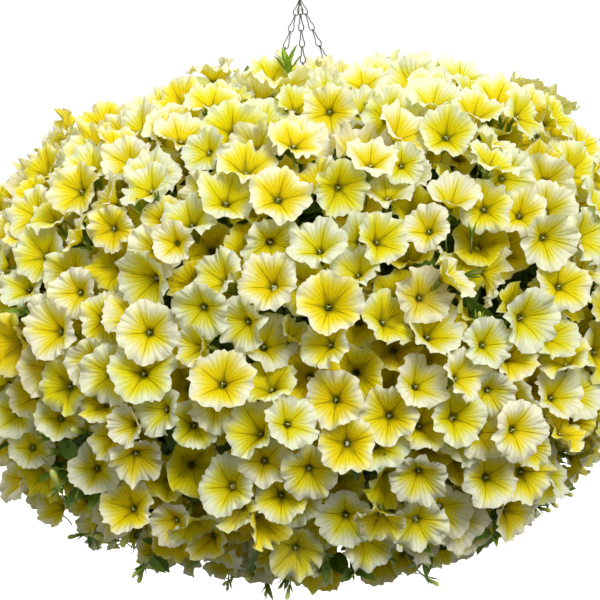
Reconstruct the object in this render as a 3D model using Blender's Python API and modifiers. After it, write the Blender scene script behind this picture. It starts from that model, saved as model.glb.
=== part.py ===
"""A hanging basket of petunias: a steel hook, a gather ring and three chains carry a welded wire basket with a
coir liner and potting mix, and six trailing petunia plants have grown into one round mound about it.

Metres, +Z up. The origin is the seat of the hook, the point that hangs on a bracket."""

import math

import bmesh
import bpy
from mathutils import Matrix, Vector

# ------------------------------------------------------------------ driving dimensions
GAP = 0.0004  # between neighbouring pieces
LAYER_GAP = 0.0020  # between the blooms and the leaves under them

MOUND_RADIUS = 0.378
MOUND_TOP = -0.145
MOUND_BOTTOM = -0.680
MOUND_POWER = 2.4  # 2 is an ellipse, more is boxier
BLOOM_DEPTH = 0.045  # the shell of flowers
LEAF_DEPTH = 0.055  # the shell of leaves under it
PLANTS = 6
FIRST_PLANT_AT = math.radians(0)
CHAIN_SLOT = 0.0075  # half the slot that each chain runs in between two plants

RIM_RADIUS = 0.150
RIM_HEIGHT = -0.427
RIM_WIRE = 0.0020  # radii of the wires
HOOP_WIRE = 0.0015
RIB_WIRE = 0.00125
RIBS = 12
BASKET_DEPTH = 0.168
BASKET_POWER = 2.6
WELD = 0.0009  # how far welded wires run into each other
LINER_THICKNESS = 0.009
LINER_PLAY = 0.0012  # between the ribs and the liner
SOIL_DROP = 0.016  # from the rim to the edge of the potting mix
SOIL_CROWN = 0.012  # how far its middle stands above its edge

HOOK_WIRE = 0.0020
HOOK_BEND = 0.016  # radius of the wire's middle round the bracket
EYE_BEND = 0.0072
EYE_HEIGHT = -0.0500
RING_WIRE = 0.00125
RING_RADIUS = 0.0095

CHAINS = 3
FIRST_CHAIN_AT = math.radians(-30)
LINKS = 21
LINK_WIRE = 0.00075
LINK_WIDTH = 0.0042  # half the width of the loop, to the middle of its wire
LINK_BITE = 0.0008  # how far one loop's middle line reaches past the next one's: wires touch and fuse
CHAIN_ON_RING = (-0.0022, 0.0042, 0.0006)  # where each chain sits along the ring's lowest stretch

CROWN_RADIUS = 0.085  # how far from the middle each plant is set
STEMS_A_PLANT = 7
STEM_WIRE = 0.0028
STEM_CLEARANCE = 0.012  # between the stems' ends and the leaves' inner faces

MOUND_MIDDLE = (MOUND_TOP + MOUND_BOTTOM) / 2
MOUND_HALF = (MOUND_TOP - MOUND_BOTTOM) / 2
SECTOR = 2 * math.pi / PLANTS

COLOURS = {
    "petal": ((0.86, 0.84, 0.48), 0.6, 0.0),
    "leaf": ((0.13, 0.22, 0.05), 0.55, 0.0),
    "stem": ((0.30, 0.38, 0.12), 0.6, 0.0),
    "coir": ((0.24, 0.13, 0.06), 0.95, 0.0),
    "potting_mix": ((0.05, 0.035, 0.025), 0.95, 0.0),
    "wire": ((0.03, 0.035, 0.035), 0.4, 0.6),
    "chain": ((0.12, 0.12, 0.12), 0.35, 0.9),
}


# ------------------------------------------------------------------ scene and materials
def cleared_collection(name):
    for obj in list(bpy.data.objects):
        bpy.data.objects.remove(obj, do_unlink=True)
    collection = bpy.data.collections.new(name)
    bpy.context.scene.collection.children.link(collection)
    return collection


def finish_material(name, finish):
    """A Principled material for one sub-part, in one of the colours above."""
    colour, roughness, metallic = COLOURS[finish]
    material = bpy.data.materials.new(name)
    material.use_nodes = True
    shader = material.node_tree.nodes["Principled BSDF"]
    shader.inputs["Base Color"].default_value = (*colour, 1.0)
    shader.inputs["Roughness"].default_value = roughness
    shader.inputs["Metallic"].default_value = metallic
    return material


def add_object(name, mesh, finish):
    obj = bpy.data.objects.new(name, mesh)
    mesh.materials.clear()
    mesh.materials.append(finish_material(name, finish))
    basket_parts.objects.link(obj)
    return obj


def mesh_from(bm, name):
    bmesh.ops.recalc_face_normals(bm, faces=bm.faces)
    mesh = bpy.data.meshes.new(name)
    bm.to_mesh(mesh)
    bm.free()
    return mesh


# ------------------------------------------------------------------ wire
def wire_mesh(paths, radius, sides, closed=False):
    """One mesh of round wires along point paths, each with its ends capped unless it is closed."""
    curve = bpy.data.curves.new("wire", "CURVE")
    curve.dimensions = "3D"
    curve.bevel_depth = radius
    curve.bevel_resolution = sides // 2 - 2
    curve.use_fill_caps = not closed
    for path in paths:
        spline = curve.splines.new("POLY")
        spline.points.add(len(path) - 1)
        for point, place in zip(spline.points, path):
            point.co = (*place, 1.0)
        spline.use_cyclic_u = closed
    holder = bpy.data.objects.new("wire", curve)
    bpy.context.scene.collection.objects.link(holder)
    graph = bpy.context.evaluated_depsgraph_get()
    mesh = bpy.data.meshes.new_from_object(holder.evaluated_get(graph))
    bpy.data.objects.remove(holder, do_unlink=True)
    bpy.data.curves.remove(curve)
    bm = bmesh.new()
    bm.from_mesh(mesh)
    bpy.data.meshes.remove(mesh)
    bmesh.ops.remove_doubles(bm, verts=bm.verts, dist=1e-6)
    return mesh_from(bm, "wire")


def united(obj, *others):
    """Welds other meshes into the object, one exact union each."""
    for mesh in others:
        tool = bpy.data.objects.new("tool", mesh)
        bpy.context.scene.collection.objects.link(tool)
        union = obj.modifiers.new("weld", "BOOLEAN")
        union.operation = "UNION"
        union.object = tool
        graph = bpy.context.evaluated_depsgraph_get()
        joined = bpy.data.meshes.new_from_object(obj.evaluated_get(graph))
        obj.modifiers.clear()
        before = obj.data
        obj.data = joined
        bpy.data.meshes.remove(before)
        bpy.data.objects.remove(tool, do_unlink=True)


def arc(centre, radius, start, end, steps, across, up):
    """Points round part of a circle that lies in the plane of the two directions."""
    angles = [start + (end - start) * i / steps for i in range(steps + 1)]
    return [centre + radius * (math.cos(a) * across + math.sin(a) * up) for a in angles]


def hoop(radius, height, steps):
    turn = 2 * math.pi / steps
    return [(radius * math.cos(i * turn), radius * math.sin(i * turn), height) for i in range(steps)]


# ------------------------------------------------------------------ hook, ring and chains
X, Y, Z = Vector((1, 0, 0)), Vector((0, 1, 0)), Vector((0, 0, 1))


def build_hook():
    """A bent wire hook in the XZ plane: open towards +X over the bracket, with a closed eye under its seat."""
    bend_middle = Z * (HOOK_WIRE - HOOK_BEND)
    eye_middle = Z * EYE_HEIGHT
    tip = [bend_middle + X * (HOOK_BEND + 0.002) - Z * 0.010]
    over = arc(bend_middle, HOOK_BEND, 0, math.pi, 12, X, Z)
    neck = [Vector((-0.0150, 0, -0.0210)), Vector((-0.0105, 0, -0.0290)), Vector((-0.0050, 0, -0.0350))]
    eye = arc(eye_middle, EYE_BEND, math.radians(105), math.radians(-205), 14, X, Z)
    add_object("hook", wire_mesh([tip + over + neck + eye], HOOK_WIRE, 8), "wire")


def ring_middle():
    """The gather ring hangs on the lowest point of the hook's eye."""
    eye_bottom = EYE_HEIGHT - EYE_BEND
    return Z * (eye_bottom + HOOK_WIRE + RING_WIRE + GAP - RING_RADIUS)


def build_gather_ring():
    path = arc(ring_middle(), RING_RADIUS, 0, 2 * math.pi, 20, Y, Z)[:-1]
    add_object("gather_ring", wire_mesh([path], RING_WIRE, 6, closed=True), "wire")


def link_path(half_length, middle, along, aside):
    """A long loop of eight points, its two ends flat where the next links bear on them."""
    straight = half_length - LINK_WIDTH
    path = []
    for side in (1, -1):
        for across, up in ((1, 0), (0.5, 1), (-0.5, 1), (-1, 0)):
            out = across * aside + up * along
            path.append(middle + side * (straight * along + LINK_WIDTH * out))
    return path


def chain_ends(index):
    """The middles of the first link's top bend and the last link's bottom bend."""
    angle = FIRST_CHAIN_AT + index * 2 * math.pi / CHAINS
    outward = Vector((math.cos(angle), math.sin(angle), 0))
    y = CHAIN_ON_RING[index]
    ring_low = ring_middle() + Y * y - Z * math.sqrt(RING_RADIUS**2 - y**2)
    rim = outward * RIM_RADIUS + Z * RIM_HEIGHT
    along = (rim - ring_low).normalized()
    top = ring_low - along * (RING_WIRE + LINK_WIRE + GAP)
    bottom = rim + along * (RIM_WIRE + LINK_WIRE + GAP)
    return top, bottom, outward


def build_chain(index):
    """A taut chain, its links turned a quarter turn each and fused where they touch."""
    top, bottom, outward = chain_ends(index)
    along = (bottom - top).normalized()
    pitch = ((bottom - top).length - LINK_BITE) / LINKS
    half_length = (pitch + LINK_BITE) / 2
    first_aside = Y.cross(along).normalized()
    last_aside = (outward - outward.dot(along) * along).normalized()
    twist = math.atan2(first_aside.cross(last_aside).dot(along), first_aside.dot(last_aside))
    quarter_turns = math.radians(90) * (LINKS - 1)
    spare = (twist - quarter_turns + math.pi / 2) % math.pi - math.pi / 2
    groups = ([], [])
    for i in range(LINKS):
        turn = Matrix.Rotation(i * (math.radians(90) + spare / (LINKS - 1)), 3, along)
        middle = top + along * (half_length + i * pitch)
        groups[i % 2].append(link_path(half_length, middle, along, turn @ first_aside))
    odd, even = (wire_mesh(group, LINK_WIRE, 4, closed=True) for group in groups)
    united(add_object(f"chain_{index + 1}", odd, "chain"), even)


# ------------------------------------------------------------------ basket, liner and potting mix
def basket_outline(inset, steps, start=0.0):
    """(radius, height) points of the bowl from its rim down to its flat base, moved inwards by inset."""
    points = []
    for i in range(steps + 1):
        angle = start + (math.radians(78) - start) * i / steps
        radius = (RIM_RADIUS - inset) * math.cos(angle) ** (2 / BASKET_POWER)
        height = RIM_HEIGHT - (BASKET_DEPTH - inset) * math.sin(angle) ** (2 / BASKET_POWER)
        points.append((radius, height))
    return points


def build_wire_basket():
    """Hoops outside and ribs inside, welded where they cross; the ribs meet in a ring at the base."""
    rib_inset = RIM_WIRE + RIB_WIRE - WELD
    outline = basket_outline(rib_inset, 7)
    ribs = []
    for i in range(RIBS):
        angle = (i + 0.5) * 2 * math.pi / RIBS
        ribs.append([(r * math.cos(angle), r * math.sin(angle), z) for r, z in outline])
    hoops = []
    for i in (3, 5, 6):
        (r0, z0), (r1, z1) = outline[i - 1], outline[i + 1]
        outward = Vector((z0 - z1, r1 - r0)).normalized() * (HOOP_WIRE + RIB_WIRE - WELD)
        hoops.append(hoop(outline[i][0] + outward.x, outline[i][1] + outward.y, 24))
    basket = add_object("wire_basket", wire_mesh([hoop(RIM_RADIUS, RIM_HEIGHT, 36)], RIM_WIRE, 6, True), "wire")
    united(basket, wire_mesh(ribs, RIB_WIRE, 4), wire_mesh(hoops, HOOP_WIRE, 4, True))


def turned(name, outline, steps, finish):
    """A solid turned about the Z axis from an outline that starts and ends on it."""
    mesh = bpy.data.meshes.new(name)
    edges = [(i, i + 1) for i in range(len(outline) - 1)]
    mesh.from_pydata([(r, 0, z) for r, z in outline], edges, [])
    obj = add_object(name, mesh, finish)
    screw = obj.modifiers.new("turn", "SCREW")
    screw.steps = steps
    screw.render_steps = steps
    screw.use_merge_vertices = True
    screw.merge_threshold = 1e-5
    return obj


LINER_INSET = RIM_WIRE + 2 * RIB_WIRE - WELD + LINER_PLAY


def build_liner():
    """A moulded coir bowl that sits in the wires, its edge just under the rim."""
    edge = math.radians(1.5)
    outer = basket_outline(LINER_INSET, 8, edge)
    inner = basket_outline(LINER_INSET + LINER_THICKNESS, 8, edge)
    outline = [(0, inner[-1][1])] + inner[::-1] + outer + [(0, outer[-1][1])]
    turned("coir_liner", outline, 32, "coir")


def build_potting_mix():
    """The mix fills the liner to a little under its edge, and rises to the middle."""
    inset = LINER_INSET + LINER_THICKNESS + GAP
    edge = (SOIL_DROP / BASKET_DEPTH) ** (BASKET_POWER / 2)
    wall = basket_outline(inset, 8, math.asin(edge))
    radius, height = wall[0]
    top = [(radius * part, height + SOIL_CROWN * (1 - part**2)) for part in (0, 0.3, 0.6, 0.85)]
    turned("potting_mix", top + wall + [(0, wall[-1][1])], 32, "potting_mix")
    return height + SOIL_CROWN * (1 - (CROWN_RADIUS / radius) ** 2)


# ------------------------------------------------------------------ plants
def mound_point(polar, inset):
    """(radius, height) on the mound at an angle from its top, moved inwards by inset."""
    radius, half = MOUND_RADIUS - inset, MOUND_HALF - inset
    across, up = math.sin(polar), math.cos(polar)
    reach = ((across / radius) ** MOUND_POWER + (abs(up) / half) ** MOUND_POWER) ** (-1 / MOUND_POWER)
    return reach * across, MOUND_MIDDLE + reach * up


def sector_solid(name, plant, polar_start, polar_end, inset, depth, finish):
    """One plant's share of a shell of the mound: a slice of the shell turned through the plant's sector. The
    sector's own axis stands off the middle, which leaves the chain's slot on one side and a gap on the other."""
    trim = math.radians(0.1)
    steps = 4
    angles = [
        polar_start + trim + (polar_end - polar_start - 2 * trim) * i / steps for i in range(steps + 1)
    ]
    outline = [mound_point(a, inset) for a in angles] + [mound_point(a, inset + depth) for a in angles[::-1]]
    mid = FIRST_PLANT_AT + plant * SECTOR
    chain_first = plant % 2 == 0
    slots = (CHAIN_SLOT, GAP / 2) if chain_first else (GAP / 2, CHAIN_SLOT)
    forward = (slots[0] + slots[1]) / (2 * math.sin(SECTOR / 2))
    sideways = (slots[0] - slots[1]) / (2 * math.cos(SECTOR / 2))
    bm = bmesh.new()
    corners = [bm.verts.new((r - forward, 0, z)) for r, z in outline]
    face = bm.faces.new(corners)
    bmesh.ops.rotate(bm, verts=bm.verts, cent=(0, 0, 0), matrix=Matrix.Rotation(-SECTOR / 2, 3, "Z"))
    bmesh.ops.spin(bm, geom=[face, *bm.verts, *bm.edges], cent=(0, 0, 0), axis=(0, 0, 1), angle=SECTOR, steps=5)
    bmesh.ops.translate(bm, verts=bm.verts, vec=(forward, sideways, 0))
    bmesh.ops.rotate(bm, verts=bm.verts, cent=(0, 0, 0), matrix=Matrix.Rotation(mid, 3, "Z"))
    add_object(name, mesh_from(bm, name), finish)


BLOOM_TIERS = {"top": (3, 42), "shoulder": (42, 72), "side": (72, 106), "skirt": (106, 152)}
LEAF_TIERS = {"upper": (4, 84), "lower": (84, 128)}


def build_stems(plant, soil_height):
    """A plant's crown and its main stems, which arch out of the potting mix to the shell of leaves."""
    mid = FIRST_PLANT_AT + plant * SECTOR
    crown = Vector((CROWN_RADIUS * math.cos(mid), CROWN_RADIUS * math.sin(mid), soil_height + 0.011))
    bm = bmesh.new()
    bmesh.ops.create_icosphere(bm, subdivisions=1, radius=0.0095, matrix=Matrix.Translation(crown))
    stems = add_object(f"plant_{plant + 1}_stems", mesh_from(bm, "crown"), "stem")
    branches = []
    for i in range(STEMS_A_PLANT):
        share = i / (STEMS_A_PLANT - 1) - 0.5
        heading = mid + share * math.radians(44)
        polar = math.radians(28 + 62 * abs(math.cos(i * 2.0)))
        r, z = mound_point(polar, BLOOM_DEPTH + LAYER_GAP + LEAF_DEPTH + STEM_CLEARANCE)
        end = Vector((r * math.cos(heading), r * math.sin(heading), z))
        lift = crown.lerp(end, 0.5) + Z * 0.022
        branches.append([crown, crown.lerp(lift, 0.5) + Z * 0.006, lift, end])
    united(stems, *(wire_mesh([path], STEM_WIRE, 4) for path in branches))


def build_plants(soil_height):
    for plant in range(PLANTS):
        build_stems(plant, soil_height)
        for tier, (start, end) in LEAF_TIERS.items():
            name = f"plant_{plant + 1}_leaves_{tier}"
            shell = (BLOOM_DEPTH + LAYER_GAP, LEAF_DEPTH)
            sector_solid(name, plant, math.radians(start), math.radians(end), *shell, "leaf")
        for tier, (start, end) in BLOOM_TIERS.items():
            name = f"plant_{plant + 1}_blooms_{tier}"
            sector_solid(name, plant, math.radians(start), math.radians(end), 0, BLOOM_DEPTH, "petal")


basket_parts = cleared_collection("petunia_hanging_basket")
build_hook()
build_gather_ring()
for chain in range(CHAINS):
    build_chain(chain)
build_wire_basket()
build_liner()
build_plants(build_potting_mix())
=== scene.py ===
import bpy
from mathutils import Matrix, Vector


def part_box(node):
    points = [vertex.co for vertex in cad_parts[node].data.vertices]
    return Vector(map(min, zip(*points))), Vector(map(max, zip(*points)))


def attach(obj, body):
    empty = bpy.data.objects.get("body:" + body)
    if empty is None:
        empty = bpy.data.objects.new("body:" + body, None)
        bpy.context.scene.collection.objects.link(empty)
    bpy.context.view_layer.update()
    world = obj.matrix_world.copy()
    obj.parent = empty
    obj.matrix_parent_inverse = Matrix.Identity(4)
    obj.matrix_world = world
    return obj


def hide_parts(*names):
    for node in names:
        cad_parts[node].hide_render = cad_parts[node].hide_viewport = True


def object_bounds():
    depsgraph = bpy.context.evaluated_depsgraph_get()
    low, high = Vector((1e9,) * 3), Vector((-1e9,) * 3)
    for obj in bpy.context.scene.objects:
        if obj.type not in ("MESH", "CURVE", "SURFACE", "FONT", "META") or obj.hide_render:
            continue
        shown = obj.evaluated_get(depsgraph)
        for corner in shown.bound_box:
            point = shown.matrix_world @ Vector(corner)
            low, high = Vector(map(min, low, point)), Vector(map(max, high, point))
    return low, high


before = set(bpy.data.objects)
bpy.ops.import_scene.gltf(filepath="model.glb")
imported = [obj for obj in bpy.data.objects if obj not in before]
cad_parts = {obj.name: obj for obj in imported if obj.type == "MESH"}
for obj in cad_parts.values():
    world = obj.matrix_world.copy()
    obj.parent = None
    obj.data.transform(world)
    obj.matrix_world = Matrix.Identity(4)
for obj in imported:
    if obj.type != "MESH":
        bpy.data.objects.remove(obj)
cad_low, cad_high = [list(map(float, corner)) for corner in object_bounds()]

import functools
import itertools
import math

import bpy
import numpy as np
from mathutils import Vector

# ------------------------------------------------------------------ places, read from the frame
PLANTS = 6
SECTOR = math.tau / PLANTS
BLOOM_TIERS = {"top": (0, 42), "shoulder": (42, 72), "side": (72, 106), "skirt": (106, 180)}
LEAF_TIERS = {"upper": (0, 84), "lower": (84, 180)}
MOUND_POWER = 2.4
MOUND_RADIUS = (cad_high[0] - cad_low[0]) / 2
MOUND_TOP = float(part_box("plant_1_blooms_top")[1][2])
SKIRT_DROP = 0.006  # the mound ends this far below the CAD's lowest blooms
MOUND_BOTTOM = float(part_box("plant_1_blooms_skirt")[0][2]) - SKIRT_DROP
MOUND_MIDDLE = (MOUND_TOP + MOUND_BOTTOM) / 2
MOUND_HALF = (MOUND_TOP - MOUND_BOTTOM) / 2
UP = np.array([0.0, 0.0, 1.0])
SUNNY = np.array([0.36, -0.55, 0.75])  # towards the part of the mound that the light reaches most
SHORT_SIDE = np.array([0.76, -0.10, -0.64])  # towards where the mound's skirt is shorter
BRIGHT_SIDE = np.array([0.30, -0.95, 0.0])  # the flowers on the crest lean this way, to the light

RIM_WIRE, HOOP_WIRE, RIB_WIRE = 0.0020, 0.0015, 0.00125
RIM_RADIUS = float(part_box("wire_basket")[1][0]) - RIM_WIRE
RIM_HEIGHT = float(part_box("wire_basket")[1][2]) - RIM_WIRE
BASKET_DEPTH = 0.168
BASKET_POWER = 2.6
RIBS = 12
RIB_END = 78  # how many degrees down the bowl the ribs go
HOOPS = (33.4, 55.7, 66.9, 77.0)  # how many degrees down it the lower hoops are
LINER_INSET = 0.0048  # from the rim's middle to the liner's outside
LINER_THICKNESS = 0.009
FIBRES, CRUMBS = 700, 300  # loose on the liner, and loose on the mix
SOIL_TOP = float(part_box("potting_mix")[1][2])
CROWN_RADIUS = 0.085

HOOK_WIRE, HOOK_BEND, EYE_BEND, EYE_HEIGHT = 0.0020, 0.016, 0.0072, -0.0500
RING_WIRE, RING_RADIUS = 0.00125, 0.0095
RING_MIDDLE = (float(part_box("gather_ring")[0][2]) + float(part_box("gather_ring")[1][2])) / 2
CHAINS, LINKS, LINK_WIRE, LINK_HALF_WIDTH = 3, 21, 0.00066, 0.0036
FIRST_CHAIN_AT = math.radians(-30)
CHAIN_ON_RING = (-0.0022, 0.0042, 0.0006)
CHAIN_TURN = math.radians(78)  # the way the links' upper eyes stand
TOUCH = 0.0004


def seeded(name):
    """A random stream of its own for each kind of thing, the same on every run."""
    return np.random.default_rng(sum(ord(letter) * (i + 7) for i, letter in enumerate(name)))


def unit(vectors):
    vectors = np.asarray(vectors, float)
    return vectors / np.maximum(np.linalg.norm(vectors, axis=-1, keepdims=True), 1e-12)


def circle(count):
    """Angles evenly round a circle."""
    return np.arange(count) * math.tau / count


def round_axis(radius, angle, height=0.0):
    """Points at a radius from the vertical axis, an angle round it and a height."""
    return np.stack(np.broadcast_arrays(radius * np.cos(angle), radius * np.sin(angle), height), axis=-1)


# ------------------------------------------------------------------ the mound that the plants fill
SWELL_SIZE, SWELL_DEPTH = 0.075, 0.0030  # of the mound's low waves
SHORT_DEPTH, SHORT_FROM, SHORT_OVER = 0.030, 0.72, 0.28  # how much shorter the skirt is, and where
CLEARING_SIZE, CLEARING_FROM, CLEARING_OVER = 0.018, 1.1, 0.9  # only the crests of the waves are clearings
NEIGHBOURS = list(itertools.product((-1, 0, 1), repeat=3))
CHUNK = 400  # this many places at a time are held against all the flowers


def mound_profile(polar, inset=0.0):
    """(radius, height) at an angle from the top of the mound, moved inwards by inset."""
    radius, half = MOUND_RADIUS - inset, MOUND_HALF - inset
    across, up = np.sin(polar), np.cos(polar)
    power = MOUND_POWER
    reach = ((np.abs(across) / radius) ** power + (np.abs(up) / half) ** power) ** (-1 / power)
    return reach * across, MOUND_MIDDLE + reach * up


def on_mound(polar, azimuth, inset=0.0):
    radius, height = mound_profile(polar, inset)
    return round_axis(radius, azimuth, height)


def mound_normal(polar, azimuth):
    step = 1e-3
    r0, z0 = mound_profile(polar - step)
    r1, z1 = mound_profile(polar + step)
    return unit(round_axis(z0 - z1, azimuth, r1 - r0))


def swell(places):
    """How far the uneven mound stands out, or in where its skirt is shorter, in metres."""
    x, y, z = (places / SWELL_SIZE).T
    rise = np.sin(1.0 * x + 0.6 * y + 0.4) + np.sin(0.9 * y - 0.8 * z + 2.1) + np.sin(1.1 * z + 0.5 * x + 4.0)
    lean = unit(places - [0.0, 0.0, MOUND_MIDDLE]) @ SHORT_SIDE
    return SWELL_DEPTH * rise - SHORT_DEPTH * np.clip((lean - SHORT_FROM) / SHORT_OVER, 0, 1)


def grown(polar, azimuth, inset=0.0):
    """Places on the mound as it grew, with its unevenness, moved inwards by inset."""
    places = on_mound(polar, azimuth)
    return places + mound_normal(polar, azimuth) * (swell(places) - inset)[..., None]


def clearing(places):
    """From 0 to 1 where the flowers open out, and the leaves behind them show."""
    x, y, z = (places / CLEARING_SIZE).T
    rise = np.sin(1.0 * x - 0.5 * z + 1.0) + np.sin(0.9 * y + 0.7 * x + 4.4) + np.sin(1.2 * z - 0.4 * y + 2.7)
    return np.clip((rise - CLEARING_FROM) / CLEARING_OVER, 0, 1)


def scatter(rng, tries, spacing, polar_low, polar_high, taken=None, taken_spacing=0.0):
    """Evenly random (polar, azimuth) pairs on the mound, none nearer than spacing to another."""
    grid = np.radians(np.linspace(polar_low, polar_high, 400))
    r, z = mound_profile(grid)
    lengths = np.hypot(np.diff(r), np.diff(z)) * (r[1:] + r[:-1]) / 2
    share = np.concatenate([[0], np.cumsum(lengths)]) / lengths.sum()
    polar = np.interp(rng.random(tries), share, grid)
    azimuth = rng.random(tries) * math.tau
    places = on_mound(polar, azimuth)
    near = np.full(tries, False)
    for part in range(0, 0 if taken is None else tries, CHUNK):
        gaps = places[part : part + CHUNK, None] - taken[None]
        near[part : part + CHUNK] = ((gaps**2).sum(2) < taken_spacing**2).any(1)
    cells, picked = {}, []
    for i in np.nonzero(~near)[0]:
        a, b, c = cell = tuple((places[i] // spacing).astype(int))
        around = (k for da, db, dc in NEIGHBOURS for k in cells.get((a + da, b + db, c + dc), ()))
        if not any(((places[i] - places[k]) ** 2).sum() < spacing**2 for k in around):
            cells.setdefault(cell, []).append(i)
            picked.append(i)
    return polar[picked], azimuth[picked]


def polar_of(places):
    return np.arctan2(np.linalg.norm(places[..., :2], axis=-1), places[..., 2] - MOUND_MIDDLE)


def normal_at(place):
    return mound_normal(polar_of(place), math.atan2(place[1], place[0]))


def plant_of(place):
    return math.floor(math.atan2(place[1], place[0]) / SECTOR + 0.5) % PLANTS


def tier_of(place, tiers):
    degrees = math.degrees(polar_of(place))
    return next(name for name, (low, high) in tiers.items() if low <= degrees < high)


# ------------------------------------------------------------------ mesh making
class Pile:
    """Vertices and faces of many small copies, gathered into one mesh."""

    def __init__(self):
        self.points, self.faces, self.flat, self.tone = [], [], [], []
        self.count = 0

    def add(self, points, faces, flat, tone=(0.5, 0.5, 0.5, 0.5)):
        """flat is each point's place on the unrolled petal or leaf; tone is four shades of the whole copy.
        A face is a row of four corners, the last of them -1 in a triangle."""
        self.points.append(points)
        self.faces.append(np.where(faces < 0, -1, faces + self.count))
        self.flat.append(flat)
        self.tone.append(np.broadcast_to(np.asarray(tone, float), (len(points), 4)))
        self.count += len(points)

    def sheet(self):
        """Each copy's own square of the whole mesh's flat map, with a margin round it."""
        side = math.ceil(math.sqrt(len(self.flat)))
        insides = (flat.clip(0, 1) * 0.94 + 0.03 for flat in self.flat)
        return np.concatenate([(inside + (i % side, i // side)) / side for i, inside in enumerate(insides)])

    def object(self, name, material):
        faces = np.concatenate(self.faces)
        corners = faces[faces >= 0].astype(np.int32)
        sizes = 3 + (faces[:, 3] >= 0)
        mesh = bpy.data.meshes.new(name)
        mesh.vertices.add(self.count)
        mesh.vertices.foreach_set("co", np.concatenate(self.points).ravel())
        mesh.loops.add(len(corners))
        mesh.loops.foreach_set("vertex_index", corners)
        mesh.polygons.add(len(faces))
        mesh.polygons.foreach_set("loop_start", (np.cumsum(sizes) - sizes).astype(np.int32))
        mesh.update(calc_edges=True)
        for layer, places in (("flat", np.concatenate(self.flat)), ("OFBake", self.sheet())):
            mesh.uv_layers.new(name=layer).data.foreach_set("uv", places[corners].ravel())
        tone = mesh.color_attributes.new("tone", "FLOAT_COLOR", "POINT")
        tone.data.foreach_set("color", np.concatenate(self.tone).ravel())
        mesh.polygons.foreach_set("use_smooth", np.full(len(faces), True))
        mesh.materials.append(material)
        obj = bpy.data.objects.new(name, mesh)
        bpy.context.scene.collection.objects.link(obj)
        return obj


def ring_faces(start, count, next_start, next_count):
    """Faces between one ring of points and the next, which has as many points or twice as many. They face
    away from the axis when the rings go up it."""
    faces = []
    for i in range(count):
        j = (i + 1) % count
        if next_count == count:
            faces.append((start + i, start + j, next_start + j, next_start + i))
        else:
            a, b, c = (next_start + (2 * i + k) % next_count for k in range(3))
            faces += [(start + i, b, a, -1), (start + i, start + j, b, -1), (start + j, c, b, -1)]
    return faces


@functools.lru_cache(None)
def tube_faces(rings, sides):
    faces = [face for i in range(rings - 1) for face in ring_faces(i * sides, sides, (i + 1) * sides, sides)]
    last = (rings - 1) * sides
    for k in range(1, sides - 1):
        faces += [(0, k + 1, k, -1), (last, last + k, last + k + 1, -1)]
    return np.array(faces)


def unrolled(sides, along):
    """Flat places of a tube's points: how far round it and how far along it each one is."""
    return np.stack([part.ravel() for part in np.meshgrid(np.arange(sides) / sides, along)], axis=1)


def tube(points, radii, sides, flute=None):
    """Points, faces and unrolled places of a round tube along a path, with closed ends. flute(angle, station)
    scales the radius round it."""
    points = np.asarray(points, float)
    count = len(points)
    radii = np.broadcast_to(np.asarray(radii, float), count)
    tangents = unit(np.gradient(points, axis=0))
    turn = circle(sides)
    side = unit(np.cross(tangents[0], [0.31, 0.57, 0.76]))
    rings = np.empty((count, sides, 3))
    for i in range(count):
        side = unit(side - np.dot(side, tangents[i]) * tangents[i])
        other = np.cross(tangents[i], side)
        wide = radii[i] * (flute(turn, i) if flute else 1.0) * np.ones(sides)
        rings[i] = points[i] + (wide * np.cos(turn))[:, None] * side + (wide * np.sin(turn))[:, None] * other
    return rings.reshape(-1, 3), tube_faces(count, sides), unrolled(sides, np.linspace(0, 1, count))


def loop_tube(points, radius, sides):
    """A tube round a closed path."""
    count = len(points)
    tangents = unit(np.roll(points, -1, axis=0) - np.roll(points, 1, axis=0))
    spokes = points - points.mean(0)
    other = unit(np.cross(spokes, np.roll(spokes, -1, axis=0)).sum(0))
    side = np.cross(tangents, other)
    turn = circle(sides)[None, :, None]
    rings = points[:, None] + radius * (np.cos(turn) * side[:, None] + np.sin(turn) * other)
    faces = [f for i in range(count) for f in ring_faces(i * sides, sides, (i + 1) % count * sides, sides)]
    return rings.reshape(-1, 3), np.array(faces), unrolled(sides, np.arange(count) / count)


def curve_through(points, steps):
    """A smooth path through a few points."""
    points = np.asarray(points, float)
    padded = np.vstack([2 * points[0] - points[1], points, 2 * points[-1] - points[-2]])
    t = np.linspace(0, 1, steps, endpoint=False)[:, None]
    out = []
    for a, b, c, d in zip(padded, padded[1:], padded[2:], padded[3:]):
        bends = (2 * a - 5 * b + 4 * c - d) * t**2 + (3 * b - a - 3 * c + d) * t**3
        out.append(0.5 * (2 * b + (c - a) * t + bends))
    return np.vstack([*out, points[-1:]])


@functools.lru_cache(None)
def strip_faces(stations):
    faces = []
    for a in range(0, 3 * (stations - 1), 3):
        faces += [(a, a + 1, a + 4, a + 3), (a + 1, a + 2, a + 5, a + 4)]
    return np.array(faces)


def strip(path, widths, normals, fold=0.0):
    """A narrow blade: two edges and a midrib that is folded in by fold times its width."""
    widths = np.asarray(widths, float)[:, None]
    along = unit(np.gradient(path, axis=0))
    normals = unit(normals - (normals * along).sum(1, keepdims=True) * along)
    across = np.cross(along, normals)
    lines = [path - across * widths / 2, path - normals * widths * fold, path + across * widths / 2]
    half = widths[:, 0] / widths.max() / 2
    share = np.linspace(0, 1, len(path))
    flat = np.stack([np.stack([0.5 + side * half, share], axis=1) for side in (-1, 0, 1)], axis=1)
    return np.stack(lines, axis=1).reshape(-1, 3), strip_faces(len(path)), flat.reshape(-1, 2)


def frames(facings, roll_up=UP):
    """For each facing, right-handed axes with z along it and y as near as it can be to roll_up."""
    z = unit(facings)
    x = unit(np.cross(np.broadcast_to(roll_up, z.shape), z) + 1e-6 * np.array([1.0, 0.4, 0.0]))
    return np.stack([x, np.cross(z, x), z], axis=-2)


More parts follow.
